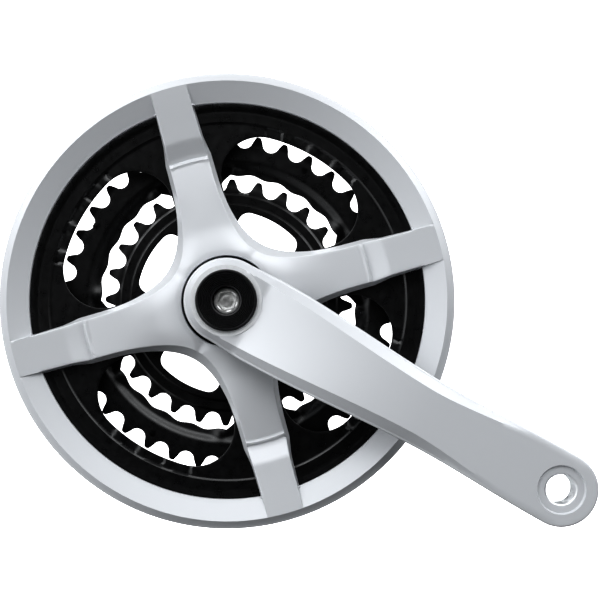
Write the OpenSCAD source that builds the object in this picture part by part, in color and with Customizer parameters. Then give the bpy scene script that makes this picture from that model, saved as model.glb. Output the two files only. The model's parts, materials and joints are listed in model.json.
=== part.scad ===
// Square-taper crankset: forged arm, three riveted steel chainrings and a four-armed chain guard.
// X runs forward, Z runs up and the axle lies along Y, with the outside of the bicycle at -Y.
// The origin is on the axle, at the mouth of the arm's square socket.
// Each piece is drawn facing up, with z as its height above the socket mouth, then turned to face -Y.

/* [Arm] */
// Distance from the axle to the pedal axle
crank_length = 170; // [165:2.5:175]
// Direction of the arm, from forward towards up
arm_angle = -29.5; // [-180:0.5:180]
// Half width of the arm beside the hub
arm_root_half_w = 20.4; // [20:0.1:21]
// Half width of the arm at its waist
arm_waist_half_w = 15.4; // [14.5:0.1:16]
// Radius of the pedal eye
eye_r = 16.5; // [16:0.1:17.5]
// Thickness of the pedal eye
eye_t = 13.5; // [12:0.5:14]
// Height of the hub's outer face
hub_h = 36; // [35:0.5:38]
// Height of the pedal eye's outer face
eye_h = 52; // [50:0.5:54]
// Radius of the hub under its bevel
hub_r = 19.6; // [19:0.1:20]
// Radius of the 9/16 inch pedal thread at its crests
pedal_thread_r = 6.5; // [6.4:0.05:6.7]

/* [Axle fit] */
// Width across the flats of the square socket at its mouth
socket_mouth_w = 13.9; // [13.7:0.1:14.1]
// Depth of the square socket
socket_depth = 18.5; // [18:0.5:20]
// Taper of each socket wall from the axle, in degrees
socket_taper = 2; // [1.5:0.5:2]
// Radius of the puller thread recess at its crests
puller_r = 10.55; // [10.4:0.05:10.7]

/* [Chainrings] */
// Chain pitch
chain_pitch = 12.7; // [12.6:0.1:12.8]
// Teeth on the outer chainring
outer_teeth = 48; // [46:2:48]
// Teeth on the middle chainring
middle_teeth = 38; // [36:2:38]
// Teeth on the inner chainring
inner_teeth = 28; // [28:1:28]
// Thickness of the chainring plates
plate_t = 2.2; // [2:0.1:2.4]
// Height of the middle of the outer chainring's plate
outer_h = 17; // [16.8:0.1:17]
// Height of the middle of the middle chainring's toothed band
middle_h = 9; // [8.5:0.1:9.5]
// Height of the middle of the inner chainring's toothed band
inner_h = 2; // [1.5:0.1:2.5]

/* [Chain guard] */
// Outer radius of the guard
guard_r = 104.8; // [104:0.1:106]
// Inner radius of the guard's ring
guard_inner_r = 91.3; // [90:0.1:93]
// Height of the guard's ridge line
guard_h = 27.8; // [27:0.1:28.5]
// Half width of each guard arm's face
guard_arm_half_w = 9.35; // [9:0.05:9.6]
// Radius of the hole round the crank hub
guard_hole_r = 21; // [20.5:0.1:21.5]

/* [Fasteners] */
// Radius of the crank bolt's thread
bolt_r = 4; // [3.9:0.05:4]
// Radius of the crank bolt's head
bolt_head_r = 6.1; // [6:0.1:6.2]
// Width across the flats of the crank bolt's hexagonal socket
bolt_key_w = 8; // [7.9:0.1:8]
// Radius of the cap over the crank bolt
cap_r = 14; // [13.5:0.1:14.5]
// Radius of the chainring rivets
rivet_r = 2.5; // [2.3:0.1:2.7]
// Radius of the guard screws
screw_r = 2; // [1.8:0.1:2]

/* [Hidden] */
$fn = 96;

overcut = 1;                       // how far a cutting shape runs past what it cuts
guard_arms = 4;
quarter = 360 / guard_arms;
star_angle = arm_angle + quarter / 2;

// Colours
alloy = [0.80, 0.81, 0.82];
silver = [0.83, 0.84, 0.86];
black_steel = [0.05, 0.05, 0.055];
bright_steel = [0.62, 0.62, 0.60];
black_plastic = [0.03, 0.03, 0.035];

// Chainring radii
roller_r = 3.95;
tooth_tip_out = 1.9;
function pitch_r(teeth) = chain_pitch / 2 / sin(180 / teeth);
outer_face = outer_h + plate_t / 2;
outer_back = outer_h - plate_t / 2;
outer_window_r = 78.7;
middle_inner_r = 60.5;
inner_bore_r = 43.8;

// Middle chainring: the inner lip sits lower than the teeth
middle_lip_h = middle_h - 2;
middle_rivet_pcr = 56;
middle_tab_half_w = 11;
middle_tab_inner_r = 49;
lip_back = middle_lip_h - plate_t / 2;
lip_face = middle_lip_h + plate_t / 2;

// Inner chainring: two steps raise its web towards the hub
inner_step = 1.3;
inner_web_h = inner_h + 2 * inner_step;
inner_rivet_pcr = 37;
inner_window_half_w = 15.3;
inner_window_from = 27;
inner_hole_r = 22;
web_back = inner_web_h - plate_t / 2;
web_face = inner_web_h + plate_t / 2;

// Hub land that carries the outer chainring
hub_flat_r = 16.2;
land_r = 17.5;
stake_r = 18.6;
stake_t = 1.3;
land_clear = 0.02;

// Guard profile
guard_base_h = 18.6;
guard_ridge_r = 101;
guard_screw_pcr = 72;
guard_wall = 2.4;

// Helpers
function clamp01(t) = min(1, max(0, t));
function smooth(t) = let (c = clamp01(t)) c * c * (3 - 2 * c);
function ease_out(t) = let (c = clamp01(t)) 1 - (1 - c) * (1 - c);
function mix(a, b, t) = a + (b - a) * t;
function arc(c, r, a0, a1, steps) =
    [for (i = [0 : steps]) let (a = mix(a0, a1, i / steps)) [c[0] + r * cos(a), c[1] + r * sin(a)]];
function turn(p, a) = [p[0] * cos(a) - p[1] * sin(a), p[0] * sin(a) + p[1] * cos(a)];
function flip(points) = [for (i = [len(points) - 1 : -1 : 0]) [points[i][0], -points[i][1]]];

// Faces of a solid skinned over rows of points
function loft_faces(rows, across) = concat(
    [[for (j = [0 : across - 1]) j]],
    [for (i = [0 : rows - 2], j = [0 : across - 1])
        [i * across + j, (i + 1) * across + j, (i + 1) * across + (j + 1) % across, i * across + (j + 1) % across]],
    [[for (j = [across - 1 : -1 : 0]) (rows - 1) * across + j]]);

module facing_out() {
    rotate([90, 0, 0]) children();
}

module on_arms(radius) {
    for (k = [0 : guard_arms - 1])
        rotate(star_angle + k * quarter)
            translate([radius, 0, 0]) children();
}

module tube(outer, bore, from, to) {
    translate([0, 0, from])
        difference() {
            cylinder(r = outer, h = to - from);
            translate([0, 0, -overcut]) cylinder(r = bore, h = to - from + 2 * overcut);
        }
}

// ---- Crank arm ----
// Sizes of the arm's section at a distance x from the axle
bevel_fade_from = 95;
bevel_fade_to = 125;
arm_edge = 1;
arm_back_chamfer = 2.5;
arm_root_h = 29.5;
arm_sink = 0.6;                    // how far the arm's face starts below the hub's

function bevel_left(x) = 1 - smooth((x - bevel_fade_from) / (bevel_fade_to - bevel_fade_from));
function arm_half_w(x) =
    mix(mix(hub_r - 1, arm_root_half_w, ease_out(x / 20)), arm_waist_half_w, smooth((x - 15) / 100))
    + (eye_r - 0.5 - arm_waist_half_w) * smooth((x - 110) / 55);
function arm_ridge(x) =
    mix(arm_half_w(x) - arm_edge, mix(15.6, 10.2, smooth((x - 12) / 95)), bevel_left(x));
function arm_front(x) = mix(hub_h - arm_sink, eye_h - 0.04, ease_out((x - 10) / 94));
function arm_back(x) = mix(arm_root_h, eye_h - eye_t + 0.04, smooth((x - 22) / 110));
function arm_bevel(x) = mix(arm_edge, mix(4.2, 5.4, x / 95), bevel_left(x));

// Profiles of the arm along its length
module arm_blank() {
    xs = [for (i = [0 : 30]) crank_length * i / 30];
    intersection() {
        linear_extrude(60)
            polygon(concat([for (x = xs) [x, -arm_half_w(x)]],
                           [for (i = [30 : -1 : 0]) [xs[i], arm_half_w(xs[i])]]));
        rotate([90, 0, 0]) linear_extrude(60, center = true)
            polygon(concat([for (x = xs) [x, arm_back(x)]],
                           [for (i = [30 : -1 : 0]) [xs[i], arm_front(xs[i])]]));
    }
}

// Cuts one bevel: each row is a triangle whose long side lies on the bevel
module bevel_cutter() {
    steps = 22;
    reach = 3;
    rows = [for (i = [0 : steps]) let (
            x = mix(-1.3, crank_length + 1.7, i / steps),
            ridge = [arm_ridge(x), arm_front(x)], edge = [arm_half_w(x), arm_front(x) - arm_bevel(x)],
            along = (edge - ridge) / norm(edge - ridge) * reach,
            top = ridge - along, foot = edge + along)
        [[x, top[0], top[1]], [x, foot[0], foot[1]], [x, foot[0] + reach, top[1] + reach]]];
    polyhedron([for (row = rows, q = row) q], loft_faces(steps + 1, 3), convexity = 4);
}

module arm_beam() {
    difference() {
        arm_blank();
        bevel_cutter();
        mirror([0, 1, 0]) bevel_cutter();
    }
}

module pedal_eye() {
    translate([crank_length, 0, 0])
        rotate_extrude()
            polygon([[0, eye_h - eye_t], [eye_r - arm_back_chamfer, eye_h - eye_t],
                     [eye_r, eye_h - eye_t + arm_back_chamfer],
                     [eye_r, eye_h - arm_edge], [eye_r - arm_edge, eye_h], [0, eye_h]]);
}

module hub() {
    rotate_extrude()
        polygon([[0, 0], [land_r - 0.8, 0], [land_r, 0.8],
                 [land_r, outer_back - stake_t - 0.9], [stake_r, outer_back - stake_t],
                 [stake_r, outer_back - land_clear], [land_r, outer_back - land_clear],
                 [land_r, outer_face + land_clear], [hub_r, outer_face + land_clear],
                 [hub_r, hub_h - 4.6], [hub_flat_r, hub_h], [0, hub_h]]);
}

// A pyramid's frustum, as the overlap of two wedges
module square_socket() {
    half = socket_mouth_w / 2;
    lost = tan(socket_taper);
    top = socket_depth + overcut;
    wedge = [[-half - lost * overcut, -overcut], [half + lost * overcut, -overcut],
             [half - lost * top, top], [-half + lost * top, top]];
    intersection() {
        rotate([90, 0, 0]) linear_extrude(40, center = true) polygon(wedge);
        rotate([90, 0, 90]) linear_extrude(40, center = true) polygon(wedge);
    }
}

seat_r = 10.3;
seat_depth = 1.2;

module pedal_hole() {
    translate([crank_length, 0, 0]) {
        cylinder(r = pedal_thread_r, h = eye_h + overcut);
        rotate_extrude()
            polygon([[0, eye_h - seat_depth], [seat_r, eye_h - seat_depth],
                     [seat_r + 0.6, eye_h + 0.01], [0, eye_h + 0.01]]);
    }
}

module crank_arm() {
    color(alloy) facing_out() rotate(arm_angle)
        difference() {
            union() {
                arm_beam();
                rotate(180) hub();
                pedal_eye();
            }
            square_socket();
            translate([0, 0, socket_depth]) cylinder(r = puller_r, h = hub_h);
            // The face is dished flat round the hub's mouth, where the cap's flange sits
            translate([0, 0, hub_h]) cylinder(r = hub_flat_r - 0.2, h = eye_h - hub_h);
            pedal_hole();
        }
}

// ---- Crank bolt, its washer and its cap ----
washer_t = 1.6;
head_from = socket_depth + washer_t + 0.05;
head_to = hub_h - 5;
key_depth = 6;
cap_hole_r = bolt_head_r + 0.3;
cap_rim_h = hub_h + 1.8;
cap_funnel_h = hub_h - 0.4;
cap_grooves = 6;

module crank_bolt() {
    color(bright_steel) facing_out()
        difference() {
            rotate_extrude()
                polygon([[0, 1.2], [bolt_r - 0.9, 1.2], [bolt_r, 2.1], [bolt_r, head_from],
                         [bolt_head_r, head_from], [bolt_head_r, head_to - 0.7],
                         [bolt_head_r - 0.7, head_to], [0, head_to]]);
            translate([0, 0, head_to - key_depth])
                cylinder(r = bolt_key_w / sqrt(3), h = key_depth + overcut, $fn = 6);
        }
}

module bolt_washer() {
    color(bright_steel) facing_out()
        tube(puller_r - 0.25, bolt_r + 0.05, socket_depth, socket_depth + washer_t);
}

module bolt_cap() {
    color(black_plastic) facing_out()
        difference() {
            rotate_extrude()
                polygon([[cap_hole_r, 24], [puller_r - 0.1, 24], [puller_r - 0.1, hub_h],
                         [cap_r, hub_h], [cap_r, hub_h + 1.1], [cap_r - 0.5, cap_rim_h],
                         [cap_r - 1, cap_rim_h], [cap_hole_r, cap_funnel_h]]);
            for (i = [0 : cap_grooves - 1]) {
                r = mix(cap_hole_r + 0.9, cap_r - 1.9, i / (cap_grooves - 1));
                top = mix(cap_funnel_h, cap_rim_h, (r - cap_hole_r) / (cap_r - 1 - cap_hole_r));
                tube(r + 0.3, r - 0.3, top - 0.45, top + overcut);
            }
        }
}

// ---- Chain guard ----
bow_asymptote = 4.4;               // how close the bow's ends come to the arms' middle lines
bow_bottom_r = 29;                 // radius at the bottom of each window
bow_steps = 10;

function face_height(r) =
    r < 65.5 ? 27.6 - 4.4 * pow(clamp01((r - 24) / 41.5), 1.6)
    : r < 68 ? mix(23.2, 22.2, (r - 65.5) / 2.5)
    : r < 76.7 ? mix(22.2, 25.3, (r - 68) / 8.7)
    : mix(25.3, guard_h, (r - 76.7) / (guard_ridge_r - 76.7));

// One side of an arm, from its end to the bottom of the window: straight, then a hyperbola
function arm_side_points() = let (
        k = bow_bottom_r / sqrt(2) - bow_asymptote,
        t_end = ln(k / (guard_arm_half_w + 0.95 - bow_asymptote)))
    concat([[107, 8.6], [82, 9.3], [68, guard_arm_half_w + 0.6]],
           [for (i = [bow_steps : -1 : 0]) let (t = t_end * i / bow_steps)
               [bow_asymptote + k * exp(t), bow_asymptote + k * exp(-t)]]);

module star_prism(inset, from, to) {
    half = [for (p = arm_side_points()) [p[0] - (p[0] < 40 ? inset * 0.7 : 0), p[1] - inset * (p[0] < 40 ? 0.7 : 1)]];
    n = len(half);
    window = concat(half, [for (i = [n - 2 : -1 : 0]) [half[i][1], half[i][0]]]);
    translate([0, 0, from])
        linear_extrude(to - from)
            rotate(star_angle) polygon([for (k = [0 : guard_arms - 1], p = window) turn(p, k * quarter)]);
}

function profile_radii() = [24, 30, 36, 42, 48, 54, 60, 65.5, 68, 76.7, guard_ridge_r, guard_r - 1];
module star_body(drop, inner) {
    top = [for (r = profile_radii()) [r, face_height(min(r, guard_ridge_r)) - drop]];
    rotate_extrude()
        polygon(concat([[inner, 0], [inner, 27.6 - drop]], top, [[guard_r - 1, 0]]));
}

module guard_ring() {
    rotate_extrude()
        polygon([[guard_inner_r, 24.4], [guard_ridge_r, guard_h], [guard_r - 0.5, 25.4], [guard_r, 24.6],
                 [guard_r, 19.6], [guard_r - 2, 19.6], [guard_r - 2, 24],
                 [guard_ridge_r - 0.4, 25.3], [guard_inner_r + 1, 21.9], [guard_inner_r, 21.9]]);
}

module chain_guard() {
    color(silver) facing_out()
        difference() {
            union() {
                difference() {
                    union() {
                        intersection() {
                            star_prism(0, guard_base_h, guard_h + overcut);
                            star_body(0, guard_hole_r);
                        }
                        guard_ring();
                    }
                    intersection() {
                        star_prism(guard_wall, guard_base_h - overcut, guard_h);
                        star_body(guard_wall, guard_hole_r + guard_wall);
                    }
                }
                on_arms(guard_screw_pcr)
                    translate([0, 0, guard_base_h]) cylinder(r = 4.4, h = 3);
            }
            on_arms(guard_screw_pcr)
                translate([0, 0, guard_base_h - overcut]) cylinder(r = screw_r + 0.05, h = 4.6);
        }
}

module guard_screws() {
    color(bright_steel) facing_out()
        on_arms(guard_screw_pcr)
            difference() {
                rotate_extrude()
                    polygon([[0, outer_back - 2.6], [2.6, outer_back - 2.6], [3.8, outer_back - 1.4],
                             [3.8, outer_back], [screw_r, outer_back], [screw_r, guard_base_h + 2.6],
                             [screw_r - 0.8, guard_base_h + 3.4], [0, guard_base_h + 3.4]]);
                for (a = [0, 90])
                    rotate(a) translate([-1.8, -0.5, outer_back - 2.6 - overcut]) cube([3.6, 1, 1.4 + overcut]);
            }
}

// ---- Chainrings ----
// One tooth space and the flank up to the next tip, turned to its place
function tooth(teeth, k) = let (
        p = pitch_r(teeth), half = chain_pitch / 2,
        side = [[p - 0.9, 3.85], [p + 0.7, 4.75], [p + tooth_tip_out - 0.35, 5.3], [p + tooth_tip_out, half - 0.45]],
        cup = arc([p, 0], roller_r, 248, 112, 7))
    [for (q = concat(flip(side), cup, side)) turn(q, k * 360 / teeth)];
function gear_outline(teeth) = [for (k = [0 : teeth - 1], q = tooth(teeth, k)) q];

// A toothed plate round a hole, less the flat shapes given as children
module toothed_band(teeth, phase, inner, h) {
    translate([0, 0, h - plate_t / 2])
        linear_extrude(plate_t)
            difference() {
                rotate(phase) polygon(gear_outline(teeth));
                circle(r = inner);
                children();
            }
}

// Window between two spokes, pointing along X, with round corners
function spoke_window(outer, corner_out, half_w, inner, corner_in) = let (
        bisect = quarter / 2,
        vo = half_w + corner_out, ro = outer - corner_out, ao = asin(vo / ro) - bisect,
        vi = half_w + corner_in, ri = inner + corner_in, ai = asin(vi / ri) - bisect,
        co = [ro * cos(ao), ro * sin(ao)], ci = [ri * cos(ai), ri * sin(ai)],
        lower = concat(arc(ci, corner_in, ai + 180, 270 - bisect, 5),
                       arc(co, corner_out, -bisect - 90, ao, 9)))
    concat(lower, arc([0, 0], outer, ao, -ao, 10), flip(lower));

outer_spoke_half_w = 12;
outer_phase = 2;
middle_phase = -1.05;
inner_phase = 4.9;

module outer_chainring() {
    color(black_steel) facing_out()
        difference() {
            toothed_band(outer_teeth, outer_phase, land_r, outer_h) {
                for (k = [0 : guard_arms - 1])
                    rotate(star_angle + (k + 0.5) * quarter)
                        polygon(spoke_window(outer_window_r, 18.2, outer_spoke_half_w, 27, 7));
                on_arms(middle_rivet_pcr) circle(r = rivet_r);
                on_arms(inner_rivet_pcr) circle(r = rivet_r);
                on_arms(guard_screw_pcr) circle(r = screw_r + 0.3);
                shift_places(88.2, 4, 22.5) circle(r = 1.6);
            }
            // The rim's inner edge is coined down on its outer face
            tube(83.4, outer_window_r - 4, outer_face - 0.5, outer_face + overcut);
        }
}

scallops = 28;
scallop_depth = 0.6;
scallop_phase = 2.5;

module lip_hole() {
    steps = scallops * 8;
    linear_extrude(40, center = true)
        polygon([for (i = [0 : steps - 1]) let (
                a = 360 * i / steps, r = middle_inner_r + scallop_depth * cos(scallops * (a - scallop_phase)))
            [r * cos(a), r * sin(a)]]);
}

// Rivet tab that reaches in from the lip
function tab_outline() = let (
        side = concat([[62, -middle_tab_half_w - 6], [60, -middle_tab_half_w - 1.6]],
                      arc([middle_tab_inner_r + 7, 7 - middle_tab_half_w], 7, 270, 180, 5)))
    concat(side, flip(side));

module middle_chainring() {
    half = plate_t / 2;
    color(black_steel) facing_out()
        difference() {
            union() {
                toothed_band(middle_teeth, middle_phase, 67, middle_h);
                difference() {
                    rotate_extrude()
                        polygon([[middle_inner_r - 3, lip_back], [63.2, lip_back], [67.2, middle_h - half],
                                 [67.6, middle_h - half], [67.6, middle_h + half], [66.6, middle_h + half],
                                 [62.6, lip_face], [middle_inner_r - 3, lip_face]]);
                    lip_hole();
                }
                on_arms(0)
                    translate([0, 0, lip_back])
                        linear_extrude(plate_t) polygon(tab_outline());
            }
            on_arms(middle_rivet_pcr) cylinder(r = rivet_r, h = 30);
            shift_places(71.5, 4, 60) cylinder(r = 1.6, h = 30);
        }
}

// Window with straight sides along X, round corners and an outer edge on a circle
function web_window(from, outer, half_w, corner) = let (
        y = half_w - corner, x = sqrt(pow(outer - corner, 2) - y * y), a = atan(y / x),
        lower = concat(arc([from + corner, -y], corner, 180, 270, 5), arc([x, -y], corner, 270, 360 - a, 5)))
    concat(lower, arc([0, 0], outer, -a, a, 8), flip(lower));

module inner_chainring() {
    half = plate_t / 2;
    color(black_steel) facing_out() {
        toothed_band(inner_teeth, inner_phase, 52, inner_h);
        rotate_extrude()
            polygon([[45.6, web_back], [45.8, web_back], [46.8, web_back - inner_step],
                     [50.6, web_back - inner_step], [51.6, inner_h - half], [52.4, inner_h - half],
                     [52.4, inner_h + half], [52.2, inner_h + half], [51.2, web_face - inner_step],
                     [47.4, web_face - inner_step], [46.4, web_face], [45.6, web_face]]);
        translate([0, 0, web_back])
            linear_extrude(plate_t)
                difference() {
                    circle(r = 45.7);
                    circle(r = inner_hole_r);
                    for (k = [0 : guard_arms - 1])
                        rotate(star_angle + (k + 0.5) * quarter)
                            polygon(web_window(inner_window_from, inner_bore_r, inner_window_half_w, 5));
                    on_arms(inner_rivet_pcr) circle(r = rivet_r);
                }
    }
}

// ---- Rivets, spacers and shift pins ----
module rivet(from, to) {
    head_r = rivet_r + 1.9;
    head_t = 1.2;
    rotate_extrude()
        polygon([[0, from - head_t], [head_r - 1, from - head_t], [head_r, from - 0.3], [head_r, from],
                 [rivet_r, from], [rivet_r, to], [head_r, to], [head_r, to + 0.3],
                 [head_r - 1, to + head_t], [0, to + head_t]]);
}

module middle_rivets() {
    color(bright_steel) facing_out() on_arms(middle_rivet_pcr) rivet(lip_back, outer_face);
}

module inner_rivets() {
    color(bright_steel) facing_out() on_arms(inner_rivet_pcr) rivet(web_back, outer_face);
}

module middle_spacers() {
    color(bright_steel) facing_out() on_arms(middle_rivet_pcr) tube(4.6, rivet_r, lip_face, outer_back);
}

module inner_spacers() {
    color(bright_steel) facing_out() on_arms(inner_rivet_pcr) tube(5, rivet_r, web_face, outer_back);
}

module shift_places(radius, count, from) {
    for (k = [0 : count - 1])
        rotate(from + k * 360 / count) translate([radius, 0, 0]) children();
}

module shift_pin(back, face) {
    rotate_extrude()
        polygon([[0, back - 1.7], [2, back - 1.7], [2.4, back - 1.3], [2.4, back], [1.6, back],
                 [1.6, face], [0, face]]);
}

module outer_shift_pins() {
    color(black_steel) facing_out() shift_places(88.2, 4, 22.5) shift_pin(outer_back, outer_face);
}

module middle_shift_pins() {
    half = plate_t / 2;
    color(black_steel) facing_out() shift_places(71.5, 4, 60) shift_pin(middle_h - half, middle_h + half);
}

crank_arm();
crank_bolt();
bolt_washer();
bolt_cap();
chain_guard();
guard_screws();
outer_chainring();
middle_chainring();
inner_chainring();
middle_rivets();
inner_rivets();
middle_spacers();
inner_spacers();
outer_shift_pins();
middle_shift_pins();
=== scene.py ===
"""Finished looks for a bicycle crankset: arm, chain guard, three chainrings, crank bolt and cap.

Each rotor piece is drawn flat, in millimetres, as the outside of the bicycle sees it: x forward, y up and
z outwards from the mouth of the arm's square socket. place() turns those points into the frame's metres.
"""

import json
import math

import bpy
import numpy as np
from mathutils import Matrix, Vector, kdtree
from mathutils.geometry import delaunay_2d_cdt


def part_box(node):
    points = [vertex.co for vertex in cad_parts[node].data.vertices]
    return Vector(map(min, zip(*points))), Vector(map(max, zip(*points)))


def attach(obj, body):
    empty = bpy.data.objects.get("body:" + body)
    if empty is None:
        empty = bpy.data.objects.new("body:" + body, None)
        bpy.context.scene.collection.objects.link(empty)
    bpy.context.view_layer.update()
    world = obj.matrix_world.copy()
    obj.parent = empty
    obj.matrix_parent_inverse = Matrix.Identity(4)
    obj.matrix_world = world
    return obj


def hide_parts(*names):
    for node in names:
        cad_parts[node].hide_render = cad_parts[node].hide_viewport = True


bl_info = {
    "name": "Bicycle crankset",
    "version": (1, 0, 0),
    "blender": (4, 5, 0),
    "location": "View3D > Sidebar > Crankset",
    "description": "Builds the finished pieces, materials and stage of a bicycle crankset",
    "category": "Add Mesh",
}

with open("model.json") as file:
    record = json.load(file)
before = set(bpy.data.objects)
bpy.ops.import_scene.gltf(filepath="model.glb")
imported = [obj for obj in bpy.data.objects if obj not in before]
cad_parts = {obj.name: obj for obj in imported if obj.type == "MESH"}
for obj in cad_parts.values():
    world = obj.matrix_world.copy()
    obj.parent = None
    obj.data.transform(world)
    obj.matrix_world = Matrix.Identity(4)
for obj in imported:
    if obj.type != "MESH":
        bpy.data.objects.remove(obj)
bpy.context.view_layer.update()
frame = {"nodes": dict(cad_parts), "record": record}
MM = 0.001
ROTOR = "crankset"

# ---------------------------------------------------------------- sizes read from the frame


def node_box(name):
    """A CAD node's box in flat millimetres: lowest and highest (x, y, z)."""
    low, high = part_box(name)
    return (
        np.array([low.x, low.z, -high.y]) / MM,
        np.array([high.x, high.z, -low.y]) / MM,
    )


def mount(name):
    """A mount's place in flat millimetres."""
    for m in frame["record"]["mounts"]:
        if m["name"] == name:
            x, y, z = m["pos_m"]
            return np.array([x, z, -y]) / MM
    raise ValueError(f"the frame has no mount named {name}")


PEDAL = mount("pedal_thread")
CRANK_LENGTH = float(math.hypot(PEDAL[0], PEDAL[1]))
ARM_ANGLE = math.degrees(math.atan2(PEDAL[1], PEDAL[0]))
STAR_ANGLE = ARM_ANGLE + 45
EYE_H = node_box("crank_arm")[1][2]
CAP_TOP = node_box("bolt_cap")[1][2]
CAP_R = (node_box("bolt_cap")[1][0] - node_box("bolt_cap")[0][0]) / 2
HUB_R = -node_box("crank_arm")[0][0]
GUARD_R = node_box("chain_guard")[1][0]
GUARD_H = node_box("chain_guard")[1][2]
GUARD_FOOT = node_box("chain_guard")[0][2]
OUTER_BACK, OUTER_FACE = node_box("outer_chainring")[0][2], node_box("outer_chainring")[1][2]
MIDDLE_FACE = node_box("middle_chainring")[1][2]
WEB_FACE = node_box("inner_chainring")[1][2]
HUB_H = CAP_TOP - 1.8
PLATE = OUTER_FACE - OUTER_BACK
BOLT_TOP = node_box("crank_bolt")[1][2]
BOLT_FOOT = node_box("crank_bolt")[0][2]

# ---------------------------------------------------------------- sizes and colours a user may change


class CranksetSizes(bpy.types.PropertyGroup):
    """Sizes of the finishing detail, in millimetres."""

    spacing: bpy.props.FloatProperty(
        name="Point spacing", description="Distance between points on broad faces",
        default=1.5, min=0.8, max=4
    )
    moulded_edge: bpy.props.FloatProperty(
        name="Guard edge", description="Radius on the chain guard's edges", default=0.5, min=0.1, max=0.8
    )
    forged_edge: bpy.props.FloatProperty(
        name="Arm edge", description="Radius on the crank arm's edges", default=1.0, min=0.3, max=1.5
    )
    stamped_edge: bpy.props.FloatProperty(
        name="Chainring edge", description="Radius on the chainrings' edges",
        default=0.25, min=0.05, max=0.3
    )
    dish: bpy.props.FloatProperty(
        name="Arm dish", description="How far the arm's face is dished beside the hub",
        default=0.9, min=0, max=1.5
    )
    cove: bpy.props.FloatProperty(
        name="Guard cove", description="How far the guard's webs fall towards its windows",
        default=1.5, min=0, max=3
    )


class CranksetColours(bpy.types.PropertyGroup):
    """Base colours of the finishes."""

    silver: bpy.props.FloatVectorProperty(
        name="Silver paint", description="Guard and arm", subtype="COLOR",
        default=(0.575, 0.59, 0.60), min=0, max=1
    )
    black: bpy.props.FloatVectorProperty(
        name="Black coating", description="Chainrings and shift pins", subtype="COLOR",
        default=(0.003, 0.003, 0.0033), min=0, max=1
    )
    zinc: bpy.props.FloatVectorProperty(
        name="Bright steel", description="Bolt, washer, rivets, spacers and screws", subtype="COLOR",
        default=(0.86, 0.86, 0.85), min=0, max=1
    )
    plastic: bpy.props.FloatVectorProperty(
        name="Black plastic", description="Cap", subtype="COLOR",
        default=(0.008, 0.008, 0.009), min=0, max=1
    )
    floor: bpy.props.FloatVectorProperty(
        name="Floor", description="Floor under the object", subtype="COLOR",
        default=(0.93, 0.93, 0.93), min=0, max=1
    )


def sizes():
    return bpy.context.scene.crankset_sizes


def colours():
    return bpy.context.scene.crankset_colours


# ---------------------------------------------------------------- flat geometry


def smooth(t):
    t = np.clip(t, 0, 1)
    return t * t * (3 - 2 * t)


def ease_out(t):
    t = np.clip(t, 0, 1)
    return 1 - (1 - t) ** 2


def mix(a, b, t):
    return a + (b - a) * t


def turned(points, degrees):
    a = math.radians(degrees)
    points = np.asarray(points, float)
    x, y = points[:, 0], points[:, 1]
    return np.stack([x * math.cos(a) - y * math.sin(a), x * math.sin(a) + y * math.cos(a)], 1)


def arc(centre, radius, start, end, steps):
    a = np.radians(np.linspace(start, end, steps + 1))
    return np.stack([centre[0] + radius * np.cos(a), centre[1] + radius * np.sin(a)], 1)


def circle(radius, spacing, centre=(0, 0), clockwise=False):
    n = max(24, int(2 * math.pi * radius / spacing))
    loop = arc(centre, radius, 0, 360, n)[:-1]
    return loop[::-1] if clockwise else loop


def joined(*parts):
    """One loop from several runs of points, without repeated points."""
    run = np.concatenate([np.asarray(p, float) for p in parts])
    gap = np.linalg.norm(run - np.roll(run, 1, 0), axis=1)
    return run[gap > 1e-4]


def evenly(run, spacing):
    """Points at a steady spacing along a run."""
    run = np.asarray(run, float)
    length = np.concatenate([[0], np.cumsum(np.linalg.norm(np.diff(run, axis=0), axis=1))])
    at = np.linspace(0, length[-1], max(2, int(round(length[-1] / spacing)) + 1))
    return np.stack([np.interp(at, length, run[:, 0]), np.interp(at, length, run[:, 1])], 1)


def eased_curve(points, steps=6):
    """A smooth run through control points."""
    p = np.asarray(points, float)
    p = np.concatenate([[2 * p[0] - p[1]], p, [2 * p[-1] - p[-2]]])
    out = []
    for i in range(1, len(p) - 2):
        for t in np.arange(steps) / steps:
            a, b, c, d = p[i - 1], p[i], p[i + 1], p[i + 2]
            square, cube = 2 * a - 5 * b + 4 * c - d, 3 * b - a - 3 * c + d
            out.append(0.5 * (2 * b + (c - a) * t + square * t**2 + cube * t**3))
    out.append(p[-2])
    return np.array(out)


def inset(loop, depth):
    """The loop moved to its left, which is where the material is."""
    tangent = np.roll(loop, -1, 0) - np.roll(loop, 1, 0)
    normal = np.stack([-tangent[:, 1], tangent[:, 0]], 1)
    normal /= np.maximum(np.linalg.norm(normal, axis=1, keepdims=True), 1e-9)
    return loop + normal * depth


def inside(points, loops):
    """Whether each point is in the material, by the even-odd rule."""
    hit = np.zeros(len(points), bool)
    for loop in loops:
        ax, ay = loop[:, 0], loop[:, 1]
        bx, by = np.roll(ax, -1), np.roll(ay, -1)
        rise = np.where(by == ay, 1e-12, by - ay)
        for first in range(0, len(points), 4000):
            px, py = points[first : first + 4000, 0, None], points[first : first + 4000, 1, None]
            crosses = ((ay > py) != (by > py)) & (px < (bx - ax) * (py - ay) / rise + ax)
            hit[first : first + 4000] ^= crosses.sum(1) % 2 == 1
    return hit


def away_from(points, others, gap):
    """The points that lie farther than the gap from all the others."""
    tree = kdtree.KDTree(len(others))
    for i, p in enumerate(others):
        tree.insert((p[0], p[1], 0), i)
    tree.balance()
    far = [tree.find((p[0], p[1], 0))[2] > gap for p in points]
    return points[np.array(far, bool)]


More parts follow.
